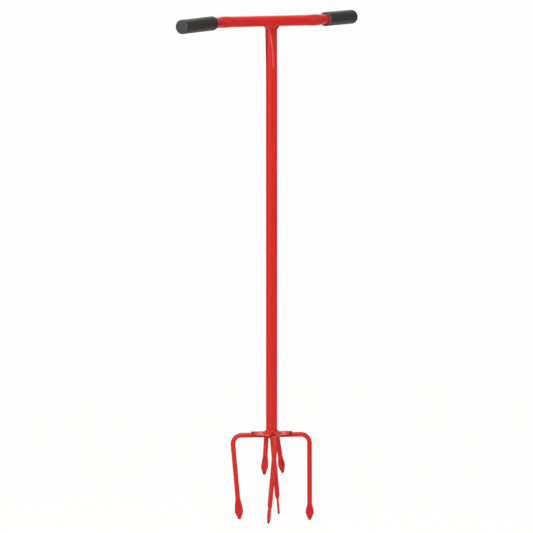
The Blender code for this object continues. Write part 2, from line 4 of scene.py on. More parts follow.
import bmesh
import bpy
import numpy as np
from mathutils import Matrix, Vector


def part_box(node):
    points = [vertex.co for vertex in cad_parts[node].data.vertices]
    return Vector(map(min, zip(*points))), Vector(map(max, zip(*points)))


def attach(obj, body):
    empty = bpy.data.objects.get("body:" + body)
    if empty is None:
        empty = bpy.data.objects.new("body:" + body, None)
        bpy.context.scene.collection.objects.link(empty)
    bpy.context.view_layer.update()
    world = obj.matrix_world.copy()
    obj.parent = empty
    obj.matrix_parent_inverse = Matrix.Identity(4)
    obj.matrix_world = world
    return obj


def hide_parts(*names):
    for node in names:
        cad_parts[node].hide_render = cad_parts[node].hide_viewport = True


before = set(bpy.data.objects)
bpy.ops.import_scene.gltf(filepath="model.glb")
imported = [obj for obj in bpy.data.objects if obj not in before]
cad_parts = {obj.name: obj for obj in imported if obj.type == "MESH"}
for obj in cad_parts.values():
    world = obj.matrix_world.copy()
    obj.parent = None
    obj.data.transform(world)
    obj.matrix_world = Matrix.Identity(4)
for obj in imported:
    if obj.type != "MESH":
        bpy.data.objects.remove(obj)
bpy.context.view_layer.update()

# The four long tines. Each is a round steel bar, bent down once at the end of its arm and forged
# flat into a spade-shaped blade. The arms run in under the hub plate, where they are welded.
# Lengths are in metres. Headings, leans (inward, clockwise) and the blade's turn are in degrees.
Tine = namedtuple("Tine", "name heading reach inward clockwise blade turn")
long_tines = (
    Tine("tine_right", 3.0, 0.0750, 0.5, 4.5, 0.032, 0.0),
    Tine("tine_back", 84.5, 0.0762, -2.0, 4.9, 0.035, 0.0),
    Tine("tine_left", 180.0, 0.0775, 5.4, 4.5, 0.043, 0.0),
    Tine("tine_front", 270.5, 0.0762, 9.0, 4.0, 0.034, 14.0),
)
arm_height = 0.168
arm_start = 0.0060
arm_chamfer, sawn_share = 0.0005, 0.88
arm_bend_radius = 0.017
arm_run_end, bend_begins, bend_ends, leg_begins = 0.048, 0.049, 0.086, 0.088
bend_narrowing, bend_thickening = 0.03, 0.02
bar_radius = 0.0047
tip_trim = 0.0006
long_blade = {"width": 0.0164, "shoulder": 0.0150}
blade_thickness, blade_step, blade_lead = 0.0044, 0.0085, 0.0034
blade_margin, root_margin = 0.006, 0.002
tip_width, tip_thickness, tip_bevel = 0.0030, 0.0040, 0.0060
tip_blunt, tip_round = 0.0022, 0.0016
spread_power, taper_power = 0.6, 0.9
tip_shade, tip_shade_run, blade_shade, blade_edge_wear = 0.75, 0.0055, 0.10, 0.25
arm_shade, arm_shade_end, arm_shade_fade = 0.55, 0.0445, 0.004

low, high = (np.array(corner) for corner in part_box("shaft_tube"))
shaft_place = (low + high) / 2 * [1.0, 1.0, 0.0]
claw_place = shaft_place + [0.0, 0.0, arm_height]


def unit(vectors):
    """Vectors scaled to length 1."""
    return vectors / np.linalg.norm(vectors, axis=-1, keepdims=True)


def ease(values):
    """0 below 0, 1 above 1, and the curve 3v^2 - 2v^3 between."""
    values = np.clip(values, 0.0, 1.0)
    return values * values * (3 - 2 * values)


def hump(values, width):
    """A smooth bump, exp(-(v / width)^2): 1 at 0 and falling off on both sides."""
    return np.exp(-(values / width) ** 2)


def turned(points, heading):
    """Points turned about the shaft by a heading in degrees, from +X towards +Y."""
    angle = math.radians(heading)
    spin = np.array([[math.cos(angle), -math.sin(angle), 0.0],
                     [math.sin(angle), math.cos(angle), 0.0],
                     [0.0, 0.0, 1.0]])
    return points @ spin.T


def around(columns):
    """Angles of the columns that go once round a piece."""
    return np.linspace(0.0, 2 * math.pi, columns, endpoint=False)


def rounded_run(start, corner, end, radius, distances):
    """Points, directions and shares of the turn along a bar that is bent once.

    Up to the bend a point is start + arriving * distance. In it the direction is
    arriving * cos a + inward * sin a, where a grows by distance / radius. Past it the bar is
    straight again towards the end.
    """
    arriving = unit(corner - start)
    leaving = unit(end - corner)
    turn = math.acos(float(arriving @ leaving))
    inward = unit(leaving - arriving * (arriving @ leaving))
    before = np.linalg.norm(corner - start) - radius * math.tan(turn / 2)
    angle = np.clip((distances - before) / radius, 0.0, turn)[:, None]
    along = np.minimum(distances, before)[:, None] + radius * np.sin(angle)
    past = np.maximum(distances - before - radius * turn, 0.0)[:, None]
    points = start + arriving * along + inward * radius * (1 - np.cos(angle)) + leaving * past
    directions = arriving * np.cos(angle) + inward * np.sin(angle)
    return points, directions, angle[:, 0] / turn


def run_length(start, corner, end, radius):
    """Length of a bar bent once: both straight runs, less what the arc cuts off, plus the arc."""
    arriving, leaving = unit(corner - start), unit(end - corner)
    turn = math.acos(float(arriving @ leaving))
    runs = np.linalg.norm(corner - start) + np.linalg.norm(end - corner)
    return runs - 2 * radius * math.tan(turn / 2) + radius * turn


def sections(centres, across, upward, half_width, half_height, columns, fullness=2.0):
    """Ellipses carried along a path, squared up where the fullness n is over 2.

    At angle t a point lies half_width * |cos t|^(2/n) across and half_height * |sin t|^(2/n) up.
    """
    angle = around(columns)
    width, height, power = (np.broadcast_to(np.asarray(value, float), (len(centres),))[:, None]
                            for value in (half_width, half_height, 2.0 / np.asarray(fullness)))
    side = width * np.sign(np.cos(angle)) * np.abs(np.cos(angle)) ** power
    rise = height * np.sign(np.sin(angle)) * np.abs(np.sin(angle)) ** power
    across, upward = (np.broadcast_to(axis, centres.shape)[:, None] for axis in (across, upward))
    return centres[:, None] + across * side[..., None] + upward * rise[..., None]


def surface(name, grid, ring=False, **measures):
    """A closed mesh over a grid of points whose columns go round; a ring's rows go round too.

    Rows that shrink to a point become poles. Each measure is a value per point that the
    material can read by its name.
    """
    rows, columns = grid.shape[:2]
    index = np.arange(rows * columns).reshape(rows, columns)
    index = np.column_stack((index, index[:, :1]))
    if ring:
        index = np.vstack((index, index[:1]))
    quads = np.stack((index[:-1, :-1], index[:-1, 1:], index[1:, 1:], index[1:, :-1]), axis=-1)
    mesh = bpy.data.meshes.new(name)
    mesh.vertices.add(rows * columns)
    mesh.vertices.foreach_set("co", grid.astype(np.float32).ravel())
    mesh.loops.add(quads.size)
    mesh.loops.foreach_set("vertex_index", quads.astype(np.int32).ravel())
    mesh.polygons.add(quads.size // 4)
    mesh.polygons.foreach_set("loop_start", np.arange(0, quads.size, 4, dtype=np.int32))
    for measure, values in measures.items():
        layer = mesh.attributes.new(measure, "FLOAT", "POINT")
        values = np.broadcast_to(values, (rows, columns)).astype(np.float32)
        layer.data.foreach_set("value", values.ravel())
    mesh.update(calc_edges=True)
    skin = bmesh.new()
    skin.from_mesh(mesh)
    bmesh.ops.remove_doubles(skin, verts=skin.verts, dist=1e-6)
    bmesh.ops.recalc_face_normals(skin, faces=skin.faces)
    skin.to_mesh(mesh)
    skin.free()
    mesh.shade_smooth()
    piece = bpy.data.objects.new(name, mesh)
    bpy.context.scene.collection.objects.link(piece)
    return piece


class Reading:
    """A socket's value over a surface: arithmetic on it adds the Math nodes of the same sum."""

    def __init__(self, finish, socket):
        self.finish = finish
        self.socket = socket

    def math(self, operation, first, second):
        """A Math node's result for two readings or numbers."""
        return self.finish.node("Math", {"operation": operation}, {0: first, 1: second})

    def __add__(self, other):
        return self.math("ADD", self, other)

    def __radd__(self, other):
        return self.math("ADD", other, self)

    def __sub__(self, other):
        return self.math("SUBTRACT", self, other)

    def __rsub__(self, other):
        return self.math("SUBTRACT", other, self)

    def __mul__(self, other):
        return self.math("MULTIPLY", self, other)

    def __rmul__(self, other):
        return self.math("MULTIPLY", other, self)

    def above(self, low, high):
        """0 up to low, 1 from high, and straight between."""
        sockets = {"Value": self, "From Min": low, "From Max": high}
        return self.finish.node("MapRange", {"clamp": True}, sockets)


class Finish:
    """A material under construction: node() adds any shader node, and its readings take operators."""

    def __init__(self, name, **constants):
        self.material = bpy.data.materials.new(name)
        self.material.use_nodes = True
        self.tree = self.material.node_tree
        self.shader = self.tree.nodes["Principled BSDF"]
        for socket, value in constants.items():
            self.shader.inputs[socket.replace("_", " ")].default_value = value
        self.place = self.node("TexCoord", {}, {}, "Object")

    def node(self, kind, settings, sockets, output=0):
        """Add a node, set it up, fill or link its sockets, and return one of its outputs."""
        made = self.tree.nodes.new("ShaderNode" + kind)
        for setting, value in settings.items():
            setattr(made, setting, value)
        for socket, value in sockets.items():
            self.feed(made.inputs[socket], value)
        return Reading(self, made.outputs[output])

    def feed(self, entry, value):
        """Link a reading to a socket, or set the socket to a plain value."""
        if isinstance(value, Reading):
            self.tree.links.new(value.socket, entry)
        else:
            entry.default_value = value

    def noise(self, size, detail=2.0):
        """Cloudy values about 0.5 whose patches are about one size across, in metres."""
        return self.node("TexNoise", {}, {"Vector": self.place, "Scale": 1.0 / size, "Detail": detail})

    def measure(self, name):
        """The value per point that a surface carries under a name."""
        return self.node("Attribute", {"attribute_name": name}, {}, "Fac")

    def blend(self, share, low, high):
        """A colour that goes from low to high with a share; each is a reading or (r, g, b, 1)."""
        return self.node("Mix", {"data_type": "RGBA"}, {0: share, 6: low, 7: high}, 2)

    def relief(self, height, distance, beneath=None):
        """A bump of a height reading times a distance in metres, over another bump."""
        sockets = {"Height": height, "Distance": distance}
        if beneath:
            sockets["Normal"] = beneath
        return self.node("Bump", {}, sockets)


coat_red, coat_bright_red = (0.715, 0.0148, 0.0114, 1.0), (0.765, 0.0172, 0.0132, 1.0)
coat_shade, coat_thin = (0.27, 0.0025, 0.0020, 1.0), (0.79, 0.040, 0.030, 1.0)
coat_highlight, coat_speck = (0.83, 0.185, 0.168, 1.0), (0.50, 0.004, 0.003, 1.0)
drift_size, gloss_size = 0.045, 0.018
speck_spacing, speck_core, speck_rim, speck_strength = 0.009, 0.03, 0.07, 0.25
peel_size, peel_height = 0.0075, 0.00005
fine_peel_size, fine_peel_height = 0.0014, 0.000022
dent_size, dent_height = 0.0060, 0.00032
coat_roughness, gloss_spread, forged_roughness = 0.25, 0.10, 0.06


def powder_coat(name):
    """Red powder coat on steel, baked to a gloss with fine orange peel and a few dark specks.

    The film pulls thin over raised edges, where it is paler. Thin, deep and rub are measures of the
    surface, from 0 to 1: deep is painted shade, a dark colour put where shade falls, and rub is a
    painted highlight, a pale colour put where light glints. Forged skin under it shows as dents.
    """
    coat = Finish(name, Specular_IOR_Level=0.32, Coat_Weight=0.10, Coat_Roughness=0.16)
    drift = coat.noise(drift_size, 3.0).above(0.3, 0.7)
    colour = coat.blend(drift, coat_red, coat_bright_red)
    # Painted shade: the deep measure darkens the coat where shade falls.
    colour = coat.blend(coat.measure("deep"), colour, coat_shade)
    colour = coat.blend(coat.measure("thin"), colour, coat_thin)
    # Painted highlight: the rub measure turns the coat pale where light glints.
    colour = coat.blend(coat.measure("rub"), colour, coat_highlight)
    cells = {"Vector": coat.place, "Scale": 1.0 / speck_spacing}
    speck = 1.0 - coat.node("TexVoronoi", {"feature": "F1"}, cells).above(speck_core, speck_rim)
    colour = coat.blend(speck * speck_strength, colour, coat_speck)
    coat.feed(coat.shader.inputs["Base Color"], colour)
    skin = coat.relief(coat.noise(peel_size, 2.0), peel_height)
    skin = coat.relief(coat.noise(fine_peel_size, 2.0), fine_peel_height, skin)
    skin = coat.relief(coat.noise(dent_size, 1.5) * coat.measure("forged"), dent_height, skin)
    coat.feed(coat.shader.inputs["Normal"], skin)
    gloss = coat.noise(gloss_size, 3.0)
    roughness = coat_roughness + gloss * gloss_spread + coat.measure("forged") * forged_roughness
    coat.feed(coat.shader.inputs["Roughness"], roughness)
    return coat.material


def leg_direction(tine):
    """Direction down a leg, for an arm along +X: -tan of each lean along X and Y, and -1 in height."""
    inward, clockwise = math.radians(tine.inward), math.radians(tine.clockwise)
    return unit(np.array([-math.tan(inward), -math.tan(clockwise), -1.0]))


def section_axes(directions, arm_face, turn):
    """Width and face axes of a bar's sections, turned about the bar from the plane of its arm.

    The face is arm_face * cos t - (direction x arm_face) * sin t, and the width is at right
    angles to it and to the bar.
    """
    angle = math.radians(turn)
    face = arm_face * math.cos(angle) - np.cross(directions, arm_face) * math.sin(angle)
    return np.cross(face, directions), face


def blade_rows(length):
    """Distances from the tip, closer together where the blade changes and where the tip rounds off."""
    root = np.linspace(length + blade_lead + root_margin, length - blade_margin, 34)
    body = np.linspace(length - blade_margin, tip_blunt, 46)[1:]
    rounding = tip_blunt - tip_round * np.sin(np.linspace(0.0, math.pi / 2, 12))[1:]
    return np.concatenate((root, body, rounding))


def blade_sizes(to_tip, width, length, shoulder):
    """Half width, half thickness, fullness and flatness of a tine at distances from its tip.

    The bar thins on an S-curve within the step at the blade's root and spreads to the shoulder.
    From there both edges run nearly straight to the blunt tip, which a quarter circle rounds off.
    """
    flat = ease((length + blade_lead - to_tip) / blade_step)
    spread = ease((length - to_tip) / (length - shoulder)) ** spread_power
    taper = np.clip(to_tip / shoulder, 0.0, 1.0) ** taper_power
    bevel = np.clip(to_tip / tip_bevel, 0.0, 1.0)
    half_width = bar_radius + (width / 2 - bar_radius) * spread
    half_width = tip_width / 2 + (half_width - tip_width / 2) * taper
    half_face = bar_radius + (blade_thickness / 2 - bar_radius) * flat
    half_face = tip_thickness / 2 + (half_face - tip_thickness / 2) * bevel
    left = np.sqrt(np.clip(1 - np.clip((tip_blunt - to_tip) / tip_round, 0.0, 1.0) ** 2, 0.0, 1.0))
    return half_width * left, half_face * left, 2.0 + flat, flat


def tine_measures(flat, to_tip, columns):
    """Where a tine's coat is thin and forged, and its painted shade and highlight, for every row and
    column.

    It is thin along the blade's edges, |cos angle|^20. Deep is painted shade, a little over the blade
    and strong at its point, near the ground.
    """
    none = np.zeros((len(to_tip), columns))
    edge = np.abs(np.cos(around(columns)))[None] ** 20 * flat[:, None]
    deep = tip_shade * hump(to_tip, tip_shade_run)[:, None] + blade_shade * flat[:, None]
    return {"thin": blade_edge_wear * edge, "deep": np.clip(deep + none, 0.0, 1.0),
            "forged": flat[:, None] + none, "rub": none}


# Each arm starts with its sawn end and a chamfer, and no tip goes below the ground.
columns = 56
for tine in long_tines:
    outward = np.array([1.0, 0.0, 0.0])
    down = leg_direction(tine)
    start, corner = outward * arm_start, outward * tine.reach
    tip = corner + down * ((arm_height + tip_trim) / -down[2])
    whole = run_length(start, corner, tip, arm_bend_radius)
    to_tip = np.concatenate((np.linspace(whole, whole - arm_run_end, 14),
                             np.linspace(whole - bend_begins, whole - bend_ends, 56),
                             np.linspace(whole - leg_begins, tine.blade + blade_margin, 24),
                             blade_rows(tine.blade)))
    points, directions, share = rounded_run(start, corner, tip, arm_bend_radius, whole - to_tip)
    half_width, half_face, fullness, flat = blade_sizes(to_tip, length=tine.blade, **long_blade)
    squeeze = np.sin(math.pi * share)
    across, face = section_axes(directions, unit(np.cross(outward, down)), tine.turn)
    grid = sections(points, across, face, half_width * (1 - bend_narrowing * squeeze),
                    half_face * (1 + bend_thickening * squeeze), columns, fullness)
    sawn = np.repeat(start[None, None], columns, axis=1)
    chamfer = start + (grid[:1] - start) * sawn_share
    grid[0] += outward * arm_chamfer
    grid = turned(np.concatenate((sawn, chamfer, grid)), tine.heading) + claw_place
    grid[..., 2] = np.maximum(grid[..., 2], 0.0)
    measures = tine_measures(flat, to_tip, columns)
    # Painted shade darkens each arm where it runs in under the hub plate and a little beyond its edge.
    from_shaft = arm_start + whole - to_tip
    under_plate = ease((arm_shade_end - from_shaft) / arm_shade_fade)[:, None]
    measures["deep"] = np.maximum(measures["deep"], arm_shade * under_plate)
    measures = {key: np.concatenate((rows[:1], rows[:1], rows)) for key, rows in measures.items()}
    piece = surface(tine.name + "_forged", grid, **measures)
    piece.data.materials.append(powder_coat(tine.name + "_coat"))
    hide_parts(tine.name)
    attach(piece, "root")

# The two short tines. They are straight lengths of the same bar, set under the valleys of the hub
# plate between the arms, with their heads cut on its slope and welded to it.
short_tine_gap = 0.0019
short_tine_radius = (2 * bar_radius + short_tine_gap) * math.sqrt(2)
short_tines = (
    Tine("short_tine_right", 45.0, short_tine_radius, -8.2, 4.5, 0.035, -14.0),
    Tine("short_tine_left", 225.0, short_tine_radius, 0.3, 4.5, 0.041, -17.0),
)
short_tine_drop = 0.0785
short_blade = {"width": 0.0158, "shoulder": 0.0158}
head_lap = 0.0004
head_shade, head_shade_reach, head_shade_run = 0.45, 1.2, 0.020
arch_clearance = 0.0005
arch_radius = bar_radius + arch_clearance
plate_flat_radius = 0.01414
plate_valley_reach = short_tine_radius + bar_radius
plate_press_share = 0.85
plate_press_run = (plate_valley_reach - plate_flat_radius) * plate_press_share
plate_web_depth = 0.0070

# Each column's head is moved along the bar to the height of the plate's underside above it.
for tine in short_tines:
    outward = np.array([1.0, 0.0, 0.0])
    down = leg_direction(tine)
    middle = outward * tine.reach
    tip = middle + down * (short_tine_drop / -down[2])
    whole = np.linalg.norm(tip - middle)
    to_tip = np.concatenate((np.linspace(whole, tine.blade + blade_margin, 16), blade_rows(tine.blade)))
    half_width, half_face, fullness, flat = blade_sizes(to_tip, length=tine.blade, **short_blade)
    across, face = section_axes(down, unit(np.cross(outward, down)), tine.turn)
    points = tip - down * to_tip[:, None]
    grid = sections(points, across, face, half_width, half_face, columns, fullness)
    slope = ease((np.hypot(grid[0, :, 0], grid[0, :, 1]) - plate_flat_radius) / plate_press_run)
    cut = arch_radius - plate_web_depth * slope + head_lap
    head = grid[0] + down * ((grid[0, :, 2] - cut)[:, None] / -down[2])
    crown = np.repeat(head.mean(axis=0)[None, None], columns, axis=1)
    grid = np.concatenate((crown, head[None], grid[1:]))
    measures = tine_measures(flat, to_tip, columns)
    # Painted shade darkens the head of each short tine under the hub plate, fading down the bar.
    under_plate = ease(head_shade_reach - (whole - to_tip) / head_shade_run)[:, None]
    measures["deep"] = np.maximum(measures["deep"], head_shade * under_plate)
    measures = {key: np.concatenate((rows[:1], rows)) for key, rows in measures.items()}
    piece = surface(tine.name + "_forged", turned(grid, tine.heading) + claw_place, **measures)
    piece.data.materials.append(powder_coat(tine.name + "_coat"))
    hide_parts(tine.name)
    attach(piece, "root")

# The hub plate. It is a four-pointed star of 2 mm sheet, blanked and then pressed, with an arch
# over each arm, a valley between the arms and a flat middle. Painted shade darkens it round its
# cut edge, and a painted highlight lies pale on the steep flanks of the arches near the shaft.
plate_thickness = 0.002
plate_point_reach = 0.041
plate_point_round = 0.0015
plate_arch_angle = math.radians(65.0)
plate_fillet = 0.0045
plate_edge_shares = [0.985, 0.9955, 1.0, 1.0, 0.9965, 0.988]
plate_edge_depths = [0.0, 0.00022, 0.0006, 0.0013, 0.00175, 0.00196]
slope_step = 0.00002
edge_shade_from, edge_shade_fade, edge_shade_depth = 0.955, 0.03, 1.35
flank_slope, flank_slope_fade = 0.35, 0.5
flank_inner, flank_inner_fade = 0.0155, 0.004
flank_outer, flank_outer_fade = 0.032, 0.010
flank_glint = 0.85
headings = sorted(tine.heading for tine in long_tines)


def aside_of_arms(x, y):
    """Distance of a point from the centre line of the nearest arm that lies on its side."""
    nearest = np.full(x.shape, 1.0)
    for heading in headings:
        cosine, sine = math.cos(math.radians(heading)), math.sin(math.radians(heading))
        ahead = x * cosine + y * sine >= 0
        nearest = np.where(ahead, np.minimum(nearest, np.abs(y * cosine - x * sine)), nearest)
    return nearest


def plate_underside(x, y):
    """Height of the sheet's underside over the arms' centres: an arc, a flank, a fillet and a web.

    How far the arch falls to the web grows on an S-curve outside the flat middle.
    """
    aside = aside_of_arms(x, y)
    tilt = plate_arch_angle
    arc_end = arch_radius * math.sin(tilt)
    flank_drop = plate_web_depth - (arch_radius + plate_fillet) * (1 - math.cos(tilt))
    fillet_start = arc_end + flank_drop / math.tan(tilt)
    fillet_end = fillet_start + plate_fillet * math.sin(tilt)
    arc = arch_radius - np.sqrt(np.maximum(arch_radius ** 2 - np.minimum(aside, arc_end) ** 2, 0.0))
    flank = np.clip(aside - arc_end, 0.0, fillet_start - arc_end) * math.tan(tilt)
    short = np.clip(fillet_end - aside, 0.0, fillet_end - fillet_start)
    rest = plate_fillet - np.sqrt(plate_fillet ** 2 - short ** 2)
    curl = plate_fillet * (1 - math.cos(tilt)) - rest
    press = ease((np.hypot(x, y) - plate_flat_radius) / plate_press_run)
    return arch_radius - (arc + flank + curl) * press


def star_reach(angle):
    """Radius of the blank's outline in each direction, found by halving.

    Beside an arm the outline runs straight from the rounded point to the valley.
    """
    ordered = np.array(headings)
    following = (np.roll(ordered, -1) - ordered) % 360
    offsets = (np.degrees(angle)[:, None] - ordered[None] + 180) % 360 - 180
    limit = np.where(offsets >= 0, following[None] / 2, np.roll(following, 1)[None] / 2)
    nearest = np.argmin(np.abs(offsets) / limit, axis=1)
    half = np.radians(limit[np.arange(len(angle)), nearest])
    lean = np.radians(np.abs(offsets[np.arange(len(angle)), nearest]))
    valley_along = plate_valley_reach * np.cos(half)
    full = np.hypot(plate_valley_reach * np.sin(half), plate_point_round) - plate_point_round
    low, high = np.zeros(len(angle)), np.full(len(angle), plate_point_reach * 1.05)
    for _ in range(40):
        middle = (low + high) / 2
        here = np.hypot(middle * np.sin(lean), plate_point_round) - plate_point_round
        edge = plate_point_reach - (plate_point_reach - valley_along) * here / full
        outside = middle * np.cos(lean) > edge
        low, high = np.where(outside, low, middle), np.where(outside, middle, high)
    return low


# Rows run from the middle outwards along the underside, round the cut edge and back over the top.
angle = around(720)
inside = np.concatenate((np.linspace(0.0, 0.30, 6), np.linspace(0.33, 0.97, 44)))
shares = np.concatenate((inside, plate_edge_shares, inside[::-1]))
depths = np.concatenate((inside * 0, plate_edge_depths, inside * 0 + plate_thickness))
radius = shares[:, None] * star_reach(angle)[None]
x, y = radius * np.cos(angle), radius * np.sin(angle)
slope_x = plate_underside(x + slope_step, y) - plate_underside(x - slope_step, y)
slope_y = plate_underside(x, y + slope_step) - plate_underside(x, y - slope_step)
slope_x, slope_y = slope_x / (2 * slope_step), slope_y / (2 * slope_step)
outward = unit(np.stack((-slope_x, -slope_y, np.ones_like(x)), axis=-1))
grid = np.stack((x, y, plate_underside(x, y)), axis=-1) + outward * depths[:, None, None]
# Painted shade darkens the blank's rim round its cut edge.
edge_shade = ease((shares - edge_shade_from) / edge_shade_fade)
edge_shade = edge_shade * ease(edge_shade_depth - depths / plate_thickness)
# Painted highlight, pale on the steep front and back flanks of the arches near the shaft, top side
# only.
flank = ease((np.abs(slope_y) - flank_slope) / flank_slope_fade)
flank = flank * ease((flank_outer - radius) / flank_outer_fade)
flank = flank * ease((radius - flank_inner) / flank_inner_fade)
flank_highlight = flank_glint * flank * (depths > plate_thickness / 2)[:, None]
piece = surface("hub_plate_pressed", grid + claw_place,
                thin=0.0, deep=edge_shade[:, None], forged=0.10, rub=flank_highlight)
piece.data.materials.append(powder_coat("hub_plate_coat"))
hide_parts("hub_plate")
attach(piece, "root")

# Eight seam welds under the hub plate. Each is a short bead laid in the groove between an arm
# and the plate, in overlapping drops, and it dies out at both ends.
seam_radius = 0.0015
seam_side, seam_height = 0.00598, -0.00256
seam_start, seam_run = 0.01553, 0.01070
seam_lift = 0.0002
seam_swell, seam_swell_loss = 1.28, 0.08
seam_wave_from, seam_wave_run = 0.06, 0.88
seam_drops, seam_drop_shift, seam_drop_swell = 7.5, 0.2, 0.14

# A bead swells by a half wave, sin^0.6, along its share s of the run, with arcs |cos|^0.7 for the
# drops, and the root of 1 - (2s - 1)^8 closes its ends.
for tine in long_tines:
    for side, letter in ((-1, "a"), (1, "b")):
        share = np.linspace(0.0, 1.0, 90)
        drops = np.abs(np.cos(math.pi * (share * seam_drops + seam_drop_shift * side))) ** 0.7
        wave = np.sin(math.pi * (seam_wave_from + seam_wave_run * share)) ** 0.6
        swell = seam_swell * wave + seam_drop_swell * drops - seam_swell_loss
        size = seam_radius * swell * np.sqrt(np.clip(1 - (2 * share - 1) ** 8, 0.0, 1.0))
        centres = np.stack((seam_start + seam_run * share, share * 0 + seam_side * side,
                            share * 0 + seam_height + seam_lift), axis=-1)
        across, upward = np.array([0.0, 1.0, 0.0]), np.array([0.0, 0.0, 1.0])
        grid = sections(centres, across, upward, size, size, 28)
        name = tine.name.replace("tine", "seam_weld") + "_" + letter
        # Painted shade darkens every bead, as they lie under the hub plate.
        piece = surface(name + "_bead", turned(grid, tine.heading) + claw_place,
                        thin=0.0, deep=0.35, forged=0.2, rub=0.0)
        piece.data.materials.append(powder_coat(name + "_coat"))
        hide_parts(name)
        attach(piece, "root")

# The shaft. It is a length of 22 mm steel tube that stands on the plate's flat middle. Its top is
# pressed a little oval and bowed aside to meet the handle tube. There a slanting painted highlight
# and a dark line of painted shade lie on it, and painted shade darkens its ends and upper part.
# Four beads of spatter from the foot's weld stick to it, each with a painted glint.
handle_height = 0.979
handle_heading = 14.9
handle_radius = 0.0104
shaft_radius = 0.011
shaft_wall = 0.0015
shaft_lap, shaft_sink = 0.0010, 0.0004
shaft_foot = arm_height + arch_radius + plate_thickness
shaft_top = handle_height - handle_radius + shaft_lap
foot_run_end, straight_begins = 0.020, 0.022
press_depth, press_length = 0.00065, 0.090
front_heading = -95.5
front = math.radians(front_heading - handle_heading)
bow_aside, bow_length = 0.0008, 0.110
shaft_bow = bow_aside * np.array([math.sin(front), -math.cos(front), 0.0])
glint_bottom, glint_top_gap, glint_width = 0.885, 0.008, 0.085
glint_foot_aside, glint_lean, glint_curl = 0.31, 0.10, 0.50
glint_strength, glint_fade_in = 0.95, 8
glint_top_loss, glint_loss_from, glint_loss_run = 0.58, 0.70, 0.30
# Painted shade: a dark line along the edge of the press near the top.
fold_shade_aside, fold_shade_width, fold_shade_fade_in = -1.02, 0.20, 1.6
end_shade, foot_shade_run, top_shade_run = 0.35, 0.004, 0.007
upper_shade, upper_shade_run = 0.40, 0.060
spatter_beads = ((-0.27, 0.0115, 0.0013), (0.66, 0.0095, 0.0012),
                 (1.9, 0.0120, 0.0012), (-2.2, 0.0090, 0.0010))
spatter_height, spatter_glint, spatter_glint_most = 0.6, 1200, 0.8


def shaft_halves(height):
    """Half width and half depth of the shaft, pressed oval on an S-curve towards its top."""
    press = press_depth * ease((height - shaft_top + press_length) / press_length)
    return shaft_radius + press, shaft_radius - press


def spatter_bead(heights, from_front, aside, above_foot, size):
    """Height of one bead over the shaft: the cap of a ball, root of size^2 less distance^2."""
    upward = (heights[:, None] - (shaft_foot + above_foot)) ** 2
    round_shaft = (shaft_radius * (from_front - aside)) ** 2
    return size * np.sqrt(np.clip(1 - (upward + round_shaft) / size ** 2, 0.0, 1.0))


columns = 144
angle = around(columns)
heights = np.concatenate((np.linspace(shaft_foot - shaft_sink, shaft_foot + foot_run_end, 50),
                          np.linspace(shaft_foot + straight_begins, shaft_top - press_length, 50),
                          np.linspace(shaft_top - press_length, shaft_top, 90)[1:]))
wide, deep = shaft_halves(heights)
centres = np.stack((heights * 0, heights * 0, heights), axis=-1)
centres = centres + shaft_bow * ease((heights - shaft_top + bow_length) / bow_length)[:, None]
across, away = np.array([1.0, 0.0, 0.0]), np.array([0.0, 1.0, 0.0])
from_front = (angle[None] - front + math.pi) % (2 * math.pi) - math.pi
outside = sections(centres, across, away, wide, deep, columns)
spatter = sum(spatter_bead(heights, from_front, *bead) for bead in spatter_beads)
outside = outside + (outside - centres[:, None]) / shaft_radius * spatter_height * spatter[..., None]
bore = sections(centres, across, away, wide - shaft_wall, deep - shaft_wall, columns)[::-1]
grid = turned(np.concatenate((outside, bore)), handle_heading) + shaft_place

# The painted highlight and the painted shade of the fold are humps across the shaft. The highlight's
# angle from the front goes by a cubic of the climb, which is 0 where the marks start and 1 under the
# handle.
climb = (heights[:, None] - glint_bottom) / (shaft_top - glint_top_gap - glint_bottom)
glint_aside = glint_foot_aside - glint_lean * climb - glint_curl * np.maximum(climb, 0.0) ** 3
glint_level = glint_strength - glint_top_loss * ease((climb - glint_loss_from) / glint_loss_run)
rub = hump(from_front - glint_aside, glint_width) * ease(climb * glint_fade_in) * glint_level
# Painted glint on each bead of spatter.
rub = np.maximum(rub, np.clip(spatter * spatter_glint, 0.0, spatter_glint_most))
fold_shade = hump(from_front - fold_shade_aside, fold_shade_width) * ease(climb * fold_shade_fade_in)
# Painted shade at the foot and the top of the shaft, fading down its upper part.
ends = np.exp(-(heights - shaft_foot) / foot_shade_run) + np.exp(-(shaft_top - heights) / top_shade_run)
shade = end_shade * ends + upper_shade * np.exp(-(shaft_top - heights) / upper_shade_run)
shade = np.clip(shade, 0.0, 1.0)[:, None]
bare = np.zeros((len(heights), columns))
piece = surface("shaft_tube_drawn", grid, ring=True, thin=0.0, forged=0.0,
                deep=np.concatenate((np.maximum(shade, fold_shade), bare)),
                rub=np.concatenate((rub, bare)))
piece.data.materials.append(powder_coat("shaft_tube_coat"))
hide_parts("shaft_tube")
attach(piece, "root")

# The fillet weld round the shaft's foot. One pass of drops that overlap like coins, a little
# uneven where the torch was moved on.
foot_width, foot_rise = 0.0026, 0.0033
foot_drops, drop_swell, drop_rise = 25, 0.00045, 0.00030
foot_inside, foot_below, foot_sink = 0.0006, 0.0003, 0.0001
foot_dip_level, foot_dip_shade = 0.15, 0.4
coin_mean, dip_share, weld_shade = 0.7, 0.5, 0.1


def coins(angle, count, slant=0.0):
    """Overlapping drops round a bead: arcs |cos| with cusps between them, 0 to 1."""
    return np.abs(np.cos(count * angle / 2 + slant)) ** 0.6


def uneven(angle, seed):
    """Slow changes in a bead's size: three waves round the tube, about 1."""
    return (1 + 0.09 * np.sin(2 * angle + seed) + 0.07 * np.sin(3 * angle + 2.1 * seed)
            + 0.04 * np.sin(5 * angle + 0.7 * seed))


